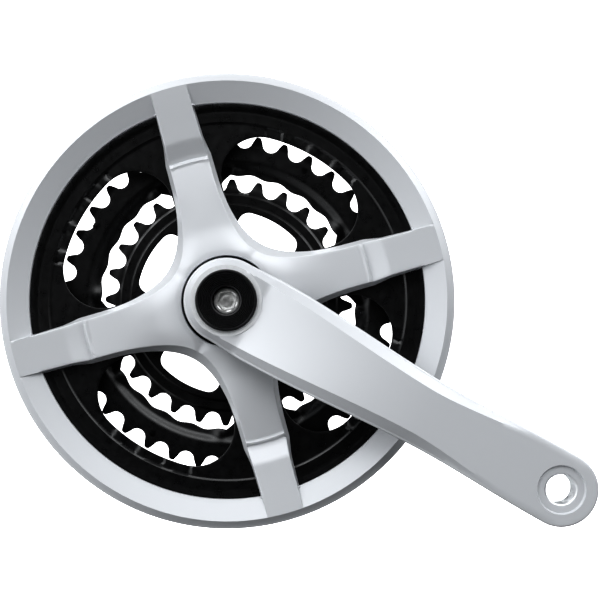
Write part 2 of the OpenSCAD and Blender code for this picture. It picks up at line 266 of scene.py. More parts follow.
def triangulate(loops, points, gap):
    """Triangles over the material between the loops, using the loops' own points first."""
    edge_points = np.concatenate(loops)
    points = points[inside(points, loops)]
    points = away_from(points, edge_points, gap)
    flat = np.concatenate([edge_points, points])
    edges, first = [], 0
    for loop in loops:
        n = len(loop)
        edges += [(first + i, first + (i + 1) % n) for i in range(n)]
        first += n
    out = delaunay_2d_cdt([Vector(p) for p in flat], edges, [], 0, 1e-6)
    where = np.array([v[:] for v in out[0]])
    tris = np.array([f for f in out[2]])
    return where, tris[inside(where[tris].mean(1), loops)]


# ---------------------------------------------------------------- meshes


def place(points):
    """Flat millimetres to the frame's metres."""
    points = np.asarray(points, float)
    return np.stack([points[:, 0], -points[:, 2], points[:, 1]], 1) * MM


def add_piece(name, points, faces, node, body, material, sharp=32):
    """A finished piece from flat points and faces, which stands for a CAD node."""
    mesh = bpy.data.meshes.new(name)
    mesh.from_pydata(place(points).tolist(), [], [tuple(int(i) for i in f) for f in faces])
    mesh.validate()
    mesh.shade_smooth()
    mesh.set_sharp_from_angle(angle=math.radians(sharp))
    mesh.materials.append(material)
    piece = bpy.data.objects.new(name, mesh)
    bpy.context.scene.collection.objects.link(piece)
    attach(piece, body)
    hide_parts(node)
    return piece


def with_height(flat, heights):
    return np.column_stack([flat, heights])


class Shell:
    """Collects the points and faces of one piece."""

    def __init__(self):
        self.points, self.faces, self.count = [], [], 0

    def add(self, points, faces):
        self.points.append(np.asarray(points, float))
        self.faces += [tuple(int(i) + self.count for i in f) for f in faces]
        self.count += len(points)

    def rows(self, rows, flip=False):
        """Skins a list of equally long loops of points."""
        n = len(rows[0])
        if any(len(row) != n for row in rows):
            raise ValueError("rows of unequal length can't be skinned")
        faces = []
        for r in range(len(rows) - 1):
            for i in range(n):
                j = (i + 1) % n
                face = (r * n + i, r * n + j, (r + 1) * n + j, (r + 1) * n + i)
                faces.append(face[::-1] if flip else face)
        self.add(np.concatenate(rows), faces)

    def merged(self, tolerance=1e-3):
        """Points and faces with coincident points joined."""
        points = np.concatenate(self.points)
        key = np.round(points / tolerance).astype(np.int64)
        _, first, back = np.unique(key, axis=0, return_index=True, return_inverse=True)
        back = back.reshape(-1)
        faces = []
        for f in self.faces:
            g = [int(back[i]) for i in f]
            g = [v for k, v in enumerate(g) if v != g[k - 1]]
            if len(set(g)) > 2:
                faces.append(tuple(g))
        return points[first], faces


def along_arm(shell):
    """A shell drawn with the crank arm along X, turned to the arm's real direction."""
    points, faces = shell.merged()
    points[:, :2] = turned(points[:, :2], ARM_ANGLE)
    return points, faces


def relief(shell, loops, foot_loops, top, bottom, grid, spacing, edge, low_edge=None):
    """A body over flat loops: a modelled face, rounded edges, drafted walls and a modelled back."""
    edges = edge if isinstance(edge, (list, tuple)) else [edge] * len(loops)
    low_edges = edges if low_edge is None else [low_edge] * len(loops)
    steps = [0, 22.5, 45, 67.5, 90]
    face_loops = [inset(loop, e) for loop, e in zip(loops, edges)]
    back_loops = [inset(loop, e) for loop, e in zip(foot_loops, low_edges)]
    sides = zip(loops, foot_loops, face_loops, back_loops, edges, low_edges)
    for loop, foot, face_loop, back_loop, e, low_e in sides:
        high, low = top(face_loop), bottom(back_loop)
        rows = []
        for a in np.radians(steps[::-1]):
            rows.append(with_height(inset(loop, e * (1 - math.cos(a))), high - e * (1 - math.sin(a))))
        for a in np.radians(steps):
            rows.append(with_height(inset(foot, low_e * (1 - math.cos(a))), low + low_e * (1 - math.sin(a))))
        shell.rows(rows, flip=True)
    for these, height, flip in ((face_loops, top, False), (back_loops, bottom, True)):
        where, tris = triangulate(these, grid, spacing * 0.45)
        shell.add(with_height(where, height(where)), tris[:, ::-1] if flip else tris)


def revolve(shell, profile, steps):
    """A surface turned about the axle from (radius, height) points, outer side to the left of travel."""
    a = np.linspace(0, 2 * math.pi, steps, endpoint=False)
    shell.rows([np.column_stack([r * np.cos(a), r * np.sin(a), np.full(steps, z)]) for r, z in profile])


def polar_grid(radii, spacing, centre=(0, 0)):
    """Points on circles, staggered from one circle to the next."""
    out = []
    for i, r in enumerate(radii):
        n = max(8, int(2 * math.pi * r / spacing))
        a = (np.arange(n) + (i % 2) * 0.5) * 2 * math.pi / n
        out.append(np.stack([centre[0] + r * np.cos(a), centre[1] + r * np.sin(a)], 1))
    return np.concatenate(out)


def around_arms(points):
    """Distance along and across the nearest guard arm."""
    a = np.degrees(np.arctan2(points[:, 1], points[:, 0])) - STAR_ANGLE
    a = (a + 45) % 90 - 45
    r = np.linalg.norm(points, axis=1)
    return r * np.cos(np.radians(a)), np.abs(r * np.sin(np.radians(a)))


# ---------------------------------------------------------------- materials


class Finish:
    """A procedural material built from a base shader and a few noise layers."""

    def __init__(self, colour, metallic, roughness):
        self.material = bpy.data.materials.new("Finish")
        self.material.use_nodes = True
        self.tree = self.material.node_tree
        self.shader = self.tree.nodes["Principled BSDF"]
        self.shader.inputs["Base Color"].default_value = (*colour, 1)
        self.shader.inputs["Metallic"].default_value = metallic
        self.shader.inputs["Roughness"].default_value = roughness
        self.place = self.tree.nodes.new("ShaderNodeTexCoord").outputs["Object"]
        self.bump_to = None

    def node(self, kind, **inputs):
        node = self.tree.nodes.new(kind)
        for key, value in inputs.items():
            node.inputs[key.replace("_", " ")].default_value = value
        return node

    def link(self, source, target):
        self.tree.links.new(source, target)

    def noise(self, scale, detail=3, rough=0.6, stretch=None):
        node = self.node("ShaderNodeTexNoise", Scale=scale, Detail=detail, Roughness=rough)
        source = self.place
        if stretch:
            mapping = self.node("ShaderNodeMapping", Scale=stretch)
            self.link(self.place, mapping.inputs["Vector"])
            source = mapping.outputs["Vector"]
        self.link(source, node.inputs["Vector"])
        return node.outputs["Fac"]

    def spread(self, source, low, high, start=0.3, end=0.7):
        node = self.tree.nodes.new("ShaderNodeMapRange")
        node.inputs["From Min"].default_value = start
        node.inputs["From Max"].default_value = end
        node.inputs["To Min"].default_value = low
        node.inputs["To Max"].default_value = high
        self.link(source, node.inputs["Value"])
        return node.outputs["Result"]

    def vary_roughness(self, source, low, high):
        self.link(self.spread(source, low, high), self.shader.inputs["Roughness"])

    def vary_colour(self, source, dark, light):
        ramp = self.tree.nodes.new("ShaderNodeValToRGB")
        ramp.color_ramp.elements[0].color = (*dark, 1)
        ramp.color_ramp.elements[1].color = (*light, 1)
        ramp.color_ramp.elements[0].position = 0.3
        ramp.color_ramp.elements[1].position = 0.7
        self.link(source, ramp.inputs["Fac"])
        self.link(ramp.outputs["Color"], self.shader.inputs["Base Color"])

    def bump(self, source, strength, depth):
        node = self.node("ShaderNodeBump", Strength=strength, Distance=depth)
        self.link(source, node.inputs["Height"])
        if self.bump_to:
            self.link(self.bump_to, node.inputs["Normal"])
        self.bump_to = node.outputs["Normal"]
        self.link(self.bump_to, self.shader.inputs["Normal"])


def shade(colour, factor):
    return tuple(min(1.0, c * factor) for c in colour)


def silver_paint():
    """Silver lacquer: fine metal flake under a thin clear coat, with slow orange peel."""
    c = colours().silver
    f = Finish(c, 0.97, 0.28)
    f.vary_colour(f.noise(5200, 2, 0.7), shade(c, 0.90), shade(c, 1.07))
    f.vary_roughness(f.noise(300, 4), 0.26, 0.31)
    f.bump(f.noise(2600, 2, 0.6), 0.05, 0.00002)
    f.shader.inputs["Coat Weight"].default_value = 0.1
    f.shader.inputs["Coat Roughness"].default_value = 0.22
    return f.material


def black_coating():
    """Black electro-coated steel: even black with a soft sheen and slight waviness."""
    c = colours().black
    f = Finish(c, 0.0, 0.30)
    f.vary_colour(f.noise(160, 4), shade(c, 0.7), shade(c, 1.5))
    f.vary_roughness(f.noise(240, 5, 0.65), 0.25, 0.36)
    f.bump(f.noise(900, 3), 0.10, 0.00008)
    f.bump(f.noise(90, 2), 0.10, 0.0004)
    f.shader.inputs["Specular IOR Level"].default_value = 0.75
    return f.material


def bright_zinc():
    """Zinc-plated steel with faint turning marks and dull patches."""
    c = colours().zinc
    f = Finish(c, 0.75, 0.36)
    f.vary_colour(f.noise(260, 4), shade(c, 0.92), shade(c, 1.04))
    f.vary_roughness(f.noise(700, 4), 0.34, 0.42)
    f.bump(f.noise(2600, 3), 0.05, 0.00002)
    return f.material


def cap_plastic():
    """Black moulded plastic, satin, with a fine spark-eroded grain."""
    c = colours().plastic
    f = Finish(c, 0.0, 0.32)
    f.shader.inputs["Specular IOR Level"].default_value = 0.9
    f.vary_colour(f.noise(500, 3), shade(c, 0.8), shade(c, 1.5))
    f.vary_roughness(f.noise(1200, 3), 0.28, 0.36)
    f.bump(f.noise(3600, 2), 0.15, 0.00004)
    return f.material


def cut_alloy():
    """Freshly cut aluminium, as in the pedal thread."""
    f = Finish((0.8, 0.81, 0.82), 1.0, 0.4)
    f.vary_colour(f.noise(400, 3), (0.76, 0.77, 0.78), (0.86, 0.87, 0.88))
    f.vary_roughness(f.noise(900, 3), 0.34, 0.48)
    f.bump(f.noise(3000, 2), 0.1, 0.00003)
    return f.material


def hub_flat_painted_light():
    """A lighter, less glossy metal finish. It paints light onto the hub's flat ring, brightening it all round
    where the cap's shade and the flat face's reflection leave it dark.
    """
    f = Finish((0.88, 0.89, 0.90), 0.45, 0.5)
    f.vary_colour(f.noise(600, 3), (0.84, 0.85, 0.86), (0.92, 0.93, 0.94))
    f.vary_roughness(f.noise(900, 3), 0.45, 0.55)
    f.bump(f.noise(3000, 2), 0.1, 0.00003)
    return f.material


def pale_floor():
    """A matt floor that glows, so that it stays pale under any light."""
    f = Finish(colours().floor, 0.0, 0.8)
    f.shader.inputs["Emission Color"].default_value = (1, 1, 1, 1)
    f.shader.inputs["Emission Strength"].default_value = 3.0
    f.vary_roughness(f.noise(40, 3), 0.72, 0.86)
    return f.material


def finish(maker):
    """The material a maker function gives, made once and named after it."""
    made = bpy.data.materials.get(maker.__name__)
    if made is None:
        made = maker()
        made.name = maker.__name__
    return made


# ---------------------------------------------------------------- crank arm

HUB_BEVEL_R = 16.2
HUB_BEVEL_DROP = 4.6
ARM_ROOT_W = 20.4
ARM_WAIST_W = 15.4
ARM_WAIST_RIDGE = 10.2
ARM_BACK = 29.5
ARM_BACK_EDGE = 1.6
EYE_R = 16.5
EYE_BACK = EYE_H - 13.5
PULLER_R = 10.55
EYE_HOLE_R = 7.1
HOLE_EDGE = 0.3
SEAT_R = 10.3
SEAT_FLARE = 0.6
SEAT_DEPTH = 1.2
BEVEL_FADE = (98, 150)


def arm_half_width(x):
    root = mix(HUB_R, ARM_ROOT_W, smooth(x / 20))
    waist = mix(root, ARM_WAIST_W, smooth((x - 15) / 100))
    return waist + (EYE_R - ARM_WAIST_W) * smooth((x - 110) / 55)


def arm_fade(x):
    """Runs from 0 to 1 where the arm's side bevels die out towards the eye."""
    return smooth((x - BEVEL_FADE[0]) / (BEVEL_FADE[1] - BEVEL_FADE[0]))


def arm_ridge(x):
    """Half width of the arm's flat face, inside its side bevels."""
    ridge = mix(HUB_BEVEL_R, ARM_WAIST_RIDGE, smooth((x - 2) / 106))
    return mix(ridge, arm_half_width(x) - 2.2, arm_fade(x))


def arm_outline(spacing):
    x = np.linspace(0, CRANK_LENGTH, int(CRANK_LENGTH / spacing))
    side = np.stack([x, arm_half_width(x)], 1)
    return joined(
        side * (1, -1),
        arc((CRANK_LENGTH, 0), EYE_R, -90, 90, 44),
        side[::-1],
        arc((0, 0), HUB_R, 90, 270, 56),
    )


def arm_face(p):
    """Height of the arm's outside face."""
    x, y = p[:, 0], np.abs(p[:, 1])
    r = np.linalg.norm(p, axis=1)
    along = np.maximum(x, 0)
    ridge, width = arm_ridge(along), arm_half_width(along)
    rise = mix(HUB_H, EYE_H, ease_out((along - 14) / 90))
    dish = sizes().dish * (1 - smooth((along - 20) / 60)) * smooth((along - 6) / 12)
    face = rise - dish * (1 - np.clip(y / ridge, 0, 1) ** 2)
    bevel = mix(mix(HUB_BEVEL_DROP, 5.4, along / 95), 0.5, arm_fade(along))
    side = rise - bevel * np.clip((y - ridge) / (width - ridge), 0, 1)
    arm = np.where(y > ridge, side, face)
    hub = HUB_H - HUB_BEVEL_DROP * np.clip((r - HUB_BEVEL_R) / (HUB_R - HUB_BEVEL_R), 0, 1)
    height = np.where(x < 0, hub, np.where(r < HUB_BEVEL_R, HUB_H, arm))
    e = np.hypot(p[:, 0] - CRANK_LENGTH, p[:, 1])
    seat = SEAT_DEPTH * (1 - np.clip((e - SEAT_R) / SEAT_FLARE, 0, 1))
    return height - seat


def arm_back(p):
    return mix(ARM_BACK, EYE_BACK, smooth((p[:, 0] - 22) / 110))


def arm_grid(spacing):
    """Points whose rows follow the arm's ridges, with circles about the hub and the eye."""
    rows = []
    for x in np.arange(0.5, CRANK_LENGTH, spacing):
        ridge, width = arm_ridge(x), arm_half_width(x)
        inner = np.linspace(-ridge, ridge, 2 * int(ridge / spacing) + 1)
        outer = np.linspace(ridge, width, 4)[1:-1]
        y = np.concatenate([inner, outer, -outer])
        rows.append(np.stack([np.full(len(y), x), y], 1))
    rows = np.concatenate(rows)
    far = (np.linalg.norm(rows, axis=1) > HUB_BEVEL_R + 0.8) & (
        np.hypot(rows[:, 0] - CRANK_LENGTH, rows[:, 1]) > 12.6
    )
    hub = polar_grid([11.6, 12.8, 14, 15.2, HUB_BEVEL_R - 0.02, HUB_BEVEL_R + 0.35], 0.8)
    bevel = polar_grid([17.3, 18.4], 1.1)
    eye = polar_grid([8, 9.2, SEAT_R, SEAT_R + SEAT_FLARE, 12], 0.7, (CRANK_LENGTH, 0))
    beyond = polar_grid([13.4, 14.8], 1.2, (CRANK_LENGTH, 0))
    return np.concatenate([rows[far], hub, bevel[bevel[:, 0] < 0], eye, beyond[beyond[:, 0] > CRANK_LENGTH]])


def build_arm():
    """The forged arm with its bevels, dished face and pedal eye, and painted light on the flat round the hub's
    mouth: a lighter finish that brightens it.
    """
    s = sizes()
    shell = Shell()
    loops = [
        arm_outline(1.3),
        circle(PULLER_R, 0.7, clockwise=True),
        circle(EYE_HOLE_R, 0.5, (CRANK_LENGTH, 0), clockwise=True),
    ]
    edges = [s.forged_edge, HOLE_EDGE, HOLE_EDGE]
    relief(shell, loops, loops, arm_face, arm_back, arm_grid(s.spacing), s.spacing, edges, ARM_BACK_EDGE)
    points, faces = along_arm(shell)
    arm = add_piece("Crank_arm", points, faces, "crank_arm", ROTOR, finish(silver_paint), 30)
    arm.data.materials.append(finish(hub_flat_painted_light))
    # The hub's flat ring takes the second, lighter finish: painted light that brightens it all round.
    for face in arm.data.polygons:
        x, y, z = face.center / MM
        if math.hypot(x, z) < HUB_BEVEL_R and y < -ARM_BACK - 3:
            face.material_index = 1
    return arm


SOCKET_DEPTH = 18.5
SOCKET_HALF = 6.95
SOCKET_LEAN = math.tan(math.radians(2))
SOCKET_CORNER = 0.9
BARREL_STEPS = 120
BARREL_FOOT_R = 16.7
BARREL_R = 17.5
LAND_R = 17.45
STAKE_R = 18.6
BARREL_TOP = ARM_BACK + ARM_BACK_EDGE
FIT_GAP = 0.05
HUB_PROFILE = [
    (BARREL_FOOT_R, 0), (17.2, 0.25), (BARREL_R, 0.8), (BARREL_R, 13.6), (17.8, 14.0), (STAKE_R, 14.6),
    (18.75, 15.1), (STAKE_R, OUTER_BACK - FIT_GAP), (LAND_R, OUTER_BACK - FIT_GAP),
    (LAND_R, OUTER_FACE + FIT_GAP), (HUB_R - 0.3, OUTER_FACE + FIT_GAP), (HUB_R, OUTER_FACE + 0.4),
    (HUB_R, BARREL_TOP), (PULLER_R, BARREL_TOP), (PULLER_R, SOCKET_DEPTH),
]


def socket_square(half):
    """The square socket's outline with rounded corners, clockwise."""
    centre = half - SOCKET_CORNER
    corners = ((0, 1, 1), (90, -1, 1), (180, -1, -1), (270, 1, -1))
    parts = [arc((sx * centre, sy * centre), SOCKET_CORNER, a, a + 90, 5) for a, sx, sy in corners]
    return joined(*[evenly(p, 0.4) for p in parts])[::-1]


def build_hub_barrel():
    """The hub behind the arm, with its square socket and the puller recess."""
    shell = Shell()
    revolve(shell, HUB_PROFILE, BARREL_STEPS)
    foot_rim = arc((0, 0), BARREL_FOOT_R, 0, 360, BARREL_STEPS)[:-1]
    mouth = socket_square(SOCKET_HALF + 0.4)
    where, tris = triangulate([foot_rim, mouth], polar_grid([11, 12.5, 14, 15.5], 1.2), 0.6)
    shell.add(with_height(where, np.zeros(len(where))), tris[:, ::-1])
    rows = [with_height(mouth, np.zeros(len(mouth)))]
    for z in (0.4, 6, 12, SOCKET_DEPTH):
        square = socket_square(SOCKET_HALF - SOCKET_LEAN * z)
        rows.append(with_height(square, np.full(len(square), z)))
    shell.rows(rows)
    floor_rim = arc((0, 0), PULLER_R, 0, 360, BARREL_STEPS)[:-1]
    where, tris = triangulate([floor_rim, square], polar_grid([9.9], 1.2), 0.3)
    shell.add(with_height(where, np.full(len(where), SOCKET_DEPTH)), tris)
    points, faces = along_arm(shell)
    return add_piece("Hub_barrel", points, faces, "crank_arm", ROTOR, finish(silver_paint), 28)


THREAD_PITCH = 25.4 / 20
THREAD_CREST_R = 6.5
THREAD_ROOT_R = 7.02
THREAD_STEPS = 72


def build_pedal_thread():
    """The 9/16 inch by 20 thread in the pedal eye, as a ribbed sleeve."""
    shell = Shell()
    low, high = EYE_BACK + 0.2, EYE_H - SEAT_DEPTH - 0.15
    a = np.linspace(0, 2 * math.pi, THREAD_STEPS, endpoint=False)

    def around_hole(r, z):
        return np.column_stack([CRANK_LENGTH + r * np.cos(a), r * np.sin(a), np.full(THREAD_STEPS, z)])

    rows = [around_hole(EYE_HOLE_R + 0.05, low - 0.25)]
    for z in np.arange(low, high, THREAD_PITCH / 8):
        phase = (z / THREAD_PITCH - a / (2 * math.pi)) % 1
        wave = 1 - np.abs(2 * phase - 1)
        rows.append(around_hole(mix(THREAD_CREST_R, THREAD_ROOT_R, np.clip(wave * 1.25 - 0.1, 0, 1)), z))
    rows.append(around_hole(EYE_HOLE_R + 0.05, high + 0.2))
    shell.rows(rows, flip=True)
    points, faces = along_arm(shell)
    return add_piece("Pedal_thread", points, faces, "crank_arm", ROTOR, finish(cut_alloy), 50)


# ---------------------------------------------------------------- crank bolt and cap

CAP_HOLE_R = 6.4
CAP_RIM_R = CAP_R - 0.9
CAP_RIM_ROUND = 0.45
CAP_FUNNEL = 2.2
CAP_FOOT = 24.5
CAP_RIBS = 8
CAP_RIB_DEPTH = 0.3
CAP_STEPS = 160
KEY_ACROSS = 8.0
KEY_TURN = 12
KEY_DEPTH = 5.2
BOLT_HEAD_R = 6.1
BOLT_HEAD_WALL = 6
BOLT_UNDER_HEAD = BOLT_TOP - 10.9
BOLT_SHANK_R = 4.0
BOLT_PITCH = 1.0
POINT_R = 0.02


def build_cap():
    """A shallow ribbed funnel with a rounded rim that hides the hub's recess."""
    shell = Shell()
    surface = [(CAP_HOLE_R, CAP_TOP - CAP_FUNNEL)]
    pitch = (CAP_RIM_R - CAP_HOLE_R - 1) / CAP_RIBS
    for i in range(CAP_RIBS):
        r = CAP_HOLE_R + 0.6 + pitch * i
        height = CAP_TOP - CAP_FUNNEL * (CAP_RIM_R - r) / (CAP_RIM_R - CAP_HOLE_R)
        surface += [(r, height), (r + pitch * 0.3, height)]
        surface += [(r + pitch * along, height - CAP_RIB_DEPTH) for along in (0.6, 0.72)]
    rim = arc((CAP_R - CAP_RIM_ROUND, CAP_TOP - CAP_RIM_ROUND), CAP_RIM_ROUND, 90, 0, 3)
    flange, plug_r = HUB_H + 0.03, PULLER_R - 0.1
    profile = [(CAP_HOLE_R, CAP_FOOT), *surface, (CAP_RIM_R, CAP_TOP), *rim]
    profile += [(CAP_R, flange), (plug_r, flange), (plug_r, CAP_FOOT), (CAP_HOLE_R, CAP_FOOT)]
    revolve(shell, profile[::-1], CAP_STEPS)
    points, faces = shell.merged()
    return add_piece("Bolt_cap", points, faces, "bolt_cap", ROTOR, finish(cap_plastic), 20)


def build_bolt():
    """An M8 bolt with a round head and an 8 mm hexagonal socket with a drilled floor."""
    shell = Shell()
    corner = KEY_ACROSS / math.sqrt(3)
    mouth = evenly(arc((0, 0), corner, KEY_TURN, KEY_TURN + 360, 6), 0.385)[:-1][::-1]
    outward = mouth / np.linalg.norm(mouth, axis=1, keepdims=True)
    floor = BOLT_TOP - KEY_DEPTH
    sections = [
        (outward * BOLT_HEAD_R, BOLT_TOP - BOLT_HEAD_WALL),
        (outward * BOLT_HEAD_R, BOLT_TOP - 0.65),
        (outward * (BOLT_HEAD_R - 0.2), BOLT_TOP - 0.25),
        (outward * (BOLT_HEAD_R - 0.7), BOLT_TOP),
        (outward * (corner + 0.28), BOLT_TOP),
        (mouth + outward * 0.175, BOLT_TOP - 0.45),
        (mouth, BOLT_TOP - 0.8),
        (mouth, floor),
        (outward * 3.1, floor - 0.15),
        (outward * 2.6, floor - 0.5),
        (outward * 1.2, floor - 1.1),
        (outward * POINT_R, floor - 1.3),
    ]
    shell.rows([with_height(loop, np.full(len(loop), z)) for loop, z in sections], flip=True)
    shank = [(POINT_R, BOLT_FOOT), (BOLT_SHANK_R - 0.9, BOLT_FOOT), (BOLT_SHANK_R - 0.1, BOLT_FOOT + 0.8)]
    z = BOLT_FOOT + BOLT_PITCH
    while z < BOLT_UNDER_HEAD - 1.5 * BOLT_PITCH:
        shank += [(BOLT_SHANK_R, z + 0.3), (BOLT_SHANK_R - 0.35, z + 0.8)]
        z += BOLT_PITCH
    shank += [(BOLT_SHANK_R - 0.02, z + 0.3), (BOLT_SHANK_R - 0.02, BOLT_UNDER_HEAD)]
    shank += [(BOLT_HEAD_R - 0.2, BOLT_UNDER_HEAD), (BOLT_HEAD_R, BOLT_UNDER_HEAD + 0.3)]
    shank += [(BOLT_HEAD_R, BOLT_TOP - BOLT_HEAD_WALL)]
    revolve(shell, shank, len(mouth))
    points, faces = shell.merged()
    zinc = finish(bright_zinc)
    return add_piece("Crank_bolt", points, faces, "crank_bolt", "bolt", zinc, 35)


# ---------------------------------------------------------------- chain guard

RING_INNER_R = 91.3
RIDGE_R = 101.0
GUARD_HOLE_R = 21.0
GUARD_ARMS = 4
QUARTER = 360 / GUARD_ARMS
BOW_FROM = 60
# Each bow: the line it closes in on, the radius at the window's bottom, and the least half width
FACE_BOW = (5.0, 27.0, 9.3)
FOOT_BOW = (3.7, 31.0, 11.0)
# Half widths of an arm at these distances from the axle, at its face and at its foot
WIDTH_AT = (BOW_FROM, 66, 68, 76.7, RING_INNER_R, RIDGE_R)
FACE_WIDTH = (9.32, 9.3, 9.5, 8.75, 8.5, 8.3)
FOOT_WIDTH = (11.06, 11.0, 11.0, 9.6, 9.2, 8.9)
# The step across each arm: how its face rises and falls at these distances from the axle
STEP_FROM = 65.2
STEP_AT = (0, STEP_FROM, 66.2, 66.9, 67.8, 69.0, 76.2, 77.2, RIDGE_R)
STEP_RISE = (0, 0, 0.38, 0.25, -0.95, -0.72, 2.02, 2.18, 4.4)


def bow_width(u, bow):
    """Half width of a guard arm that flares into its neighbours near the hub."""
    offset, bottom, low = bow
    k = (bottom / math.sqrt(2) - offset) ** 2
    flare = offset + k / np.maximum(u - offset, 0.1)
    return 8 + (np.maximum(flare - 8, 0) ** 4 + (low - 8) ** 4) ** 0.25


def guard_arm_width(u, bow, widths):
    return np.where(u >= BOW_FROM, np.interp(u, WIDTH_AT, widths), bow_width(u, bow))


def arm_edge_run(bow, widths, ring_r, spacing=0.9):
    """One edge of a guard arm, from the ring in to the middle of the window's bottom."""
    end_w = widths[4]
    straight = np.linspace(math.sqrt(ring_r**2 - end_w**2), BOW_FROM, int(31 / spacing))
    offset, bottom, _ = bow
    k = bottom / math.sqrt(2) - offset
    t = np.linspace(math.log((BOW_FROM - offset) / k), 0, int(44 / spacing))
    curved = offset + k * np.exp(t)
    u = np.concatenate([straight, curved[1:]])
    v = guard_arm_width(u, bow, widths)
    v[-1] = u[-1]
    return np.stack([u, v], 1)


def guard_window(bow, widths, ring_r):
    """The window between two arms as a clockwise loop, with its first arm along X."""
    run = arm_edge_run(bow, widths, ring_r)
    mirrored = run[::-1][:, ::-1]
    start = math.degrees(math.atan2(run[0][1], run[0][0]))
    ring = arc((0, 0), ring_r, 90 - start, start, 100)
    return joined(run, mirrored[1:], ring[1:-1])


def star_height(r):
    """Height of the guard arms' face along their length."""
    hub_fall = 1.5 * smooth((r - 21) / 15)
    dome = GUARD_H - 0.2 - hub_fall - 2.9 * np.clip((r - 24) / 41.5, 0, 1) ** 1.6
    stepped = GUARD_H - 4.6 + np.interp(r, STEP_AT, STEP_RISE) + 0.2 * smooth((r - 77) / 24)
    return np.where(r < STEP_FROM, dome, stepped)


def ring_height(r):
    """Height of the guard's ring, which falls away both ways from its ridge."""
    inner = mix(24.4, GUARD_H, (r - RING_INNER_R) / (RIDGE_R - RING_INNER_R))
    outer = mix(GUARD_H, 25.0, (r - RIDGE_R) / (GUARD_R - RIDGE_R))
    return np.where(r < RIDGE_R, inner, outer)


def guard_face(p):
    u, v = around_arms(p)
    r = np.linalg.norm(p, axis=1)
    width = guard_arm_width(np.maximum(u, 20), FACE_BOW, FACE_WIDTH)
    star = np.minimum(star_height(r), GUARD_H)
    lip = 0.3 * (1 - np.clip((r - GUARD_HOLE_R) / 1.4, 0, 1))
    to_edge = np.where(r < 60, np.maximum(width - v, 0) * 0.8, 9)
    cove = sizes().cove * np.clip(1 - to_edge / 7.5, 0, 1) ** 2 * (1 - smooth((r - 26) / 30))
    star = star - lip - cove
    wall = star - np.maximum(v - width, 0) * 9
    ring = ring_height(r)
    return np.where(r < RING_INNER_R - 0.05, star, np.maximum(ring, np.where(r < RIDGE_R, wall, ring)))


def guard_back(p):
    r = np.linalg.norm(p, axis=1)
    ring = np.where(r > GUARD_R - 2, 19.6, 21.9)
    return np.where(r < RING_INNER_R + 0.05, GUARD_FOOT, ring)


def build_guard():
    """The guard's ring and its four flared arms, with drafted windows between them."""
    s = sizes()
    shell = Shell()
    outer = circle(GUARD_R, 1.3)
    hole = circle(GUARD_HOLE_R, 0.9, clockwise=True)
    face_loops, foot_loops = [outer, hole], [outer, hole]
    face_window = guard_window(FACE_BOW, FACE_WIDTH, RING_INNER_R)
    foot_window = guard_window(FOOT_BOW, FOOT_WIDTH, RING_INNER_R)
    for k in range(GUARD_ARMS):
        face_loops.append(turned(face_window, STAR_ANGLE + QUARTER * k))
        foot_loops.append(turned(foot_window, STAR_ANGLE + QUARTER * k))
    radii = [
        22, 22.8, 24, 25.4, *np.arange(27, 65, s.spacing), *STEP_AT[1:5], 69, 70.5, 72, 73.5, 75, 76.2, 77.2,
        *np.arange(78.5, 91, s.spacing), 91.25, 91.6, 92.6, 94, 95.4, 96.8, 98.2, 99.6, RIDGE_R,
        GUARD_R - 2.7, GUARD_R - 2.05, GUARD_R - 1.95, GUARD_R - 1,
    ]
    grid = [polar_grid(radii, 1.3)]
    u = np.arange(84, RIDGE_R, 0.8)
    width = guard_arm_width(u, FACE_BOW, FACE_WIDTH)
    for k in range(GUARD_ARMS):
        for side in (1, -1):
            for beyond in (0, 0.32):
                edge = np.stack([u, side * (width + beyond)], 1)
                grid.append(turned(edge, STAR_ANGLE + QUARTER * k))
    grid = np.concatenate(grid)
    relief(shell, face_loops, foot_loops, guard_face, guard_back, grid, s.spacing, s.moulded_edge)
    points, faces = shell.merged()
    paint = finish(silver_paint)
    return add_piece("Chain_guard", points, faces, "chain_guard", ROTOR, paint, 28)


# ---------------------------------------------------------------- chainrings

CHAIN_PITCH = 12.7
ROLLER_R = 3.95
TIP_OUT = 1.9
OUTER_TEETH, MIDDLE_TEETH, INNER_TEETH = 48, 38, 28


def pitch_radius(teeth):
    return CHAIN_PITCH / 2 / math.sin(math.pi / teeth)


def gear_loop(teeth, phase):
    """A chainring's toothed outline: round roller seats, leaning flanks and narrow rounded tips."""
    p, half = pitch_radius(teeth), CHAIN_PITCH / 2
    tip = p + TIP_OUT
    side = [(p - 0.95, 3.83), (p + 0.5, 4.62), (tip - 0.45, 5.2), (tip - 0.08, 5.62), (tip, half - 0.02)]
    flank = eased_curve(side, 2)
    seat = arc((p, 0), ROLLER_R, 248, 112, 10)
    one = np.concatenate([(flank * (1, -1))[::-1], seat, flank])
    return joined(*[turned(one, phase + 360 * k / teeth) for k in range(teeth)])


def root_radius(teeth):
    return pitch_radius(teeth) - ROLLER_R


def tooth_chamfer(r, teeth, depth):
    """How far the teeth are thinned towards their tips."""
    return depth * smooth((r - root_radius(teeth) - 0.6) / 4.6)


def spoke_window(outer, corner_out, half_w, inner, corner_in):
    """A window between two spokes as a clockwise loop, with its middle along X."""
    across_out, along_out = half_w + corner_out, outer - corner_out
    across_in, along_in = half_w + corner_in, inner + corner_in
    a_out = math.degrees(math.asin(across_out / along_out)) - 45
    a_in = math.degrees(math.asin(across_in / along_in)) - 45
    c_out = (along_out * math.cos(math.radians(a_out)), along_out * math.sin(math.radians(a_out)))
    c_in = (along_in * math.cos(math.radians(a_in)), along_in * math.sin(math.radians(a_in)))
    low = joined(arc(c_in, corner_in, a_in + 180, 225, 8), arc(c_out, corner_out, -135, a_out, 24))
    whole = np.concatenate([low, arc((0, 0), outer, a_out, -a_out, 30), (low * (1, -1))[::-1]])
    return evenly(np.concatenate([whole, whole[:1]]), 1.1)[:-1][::-1]


COIN_R = 83.4
POCKET_PHASE = 3.65
POCKET_HALF_W = 3.9
GROOVE_R = 88.6


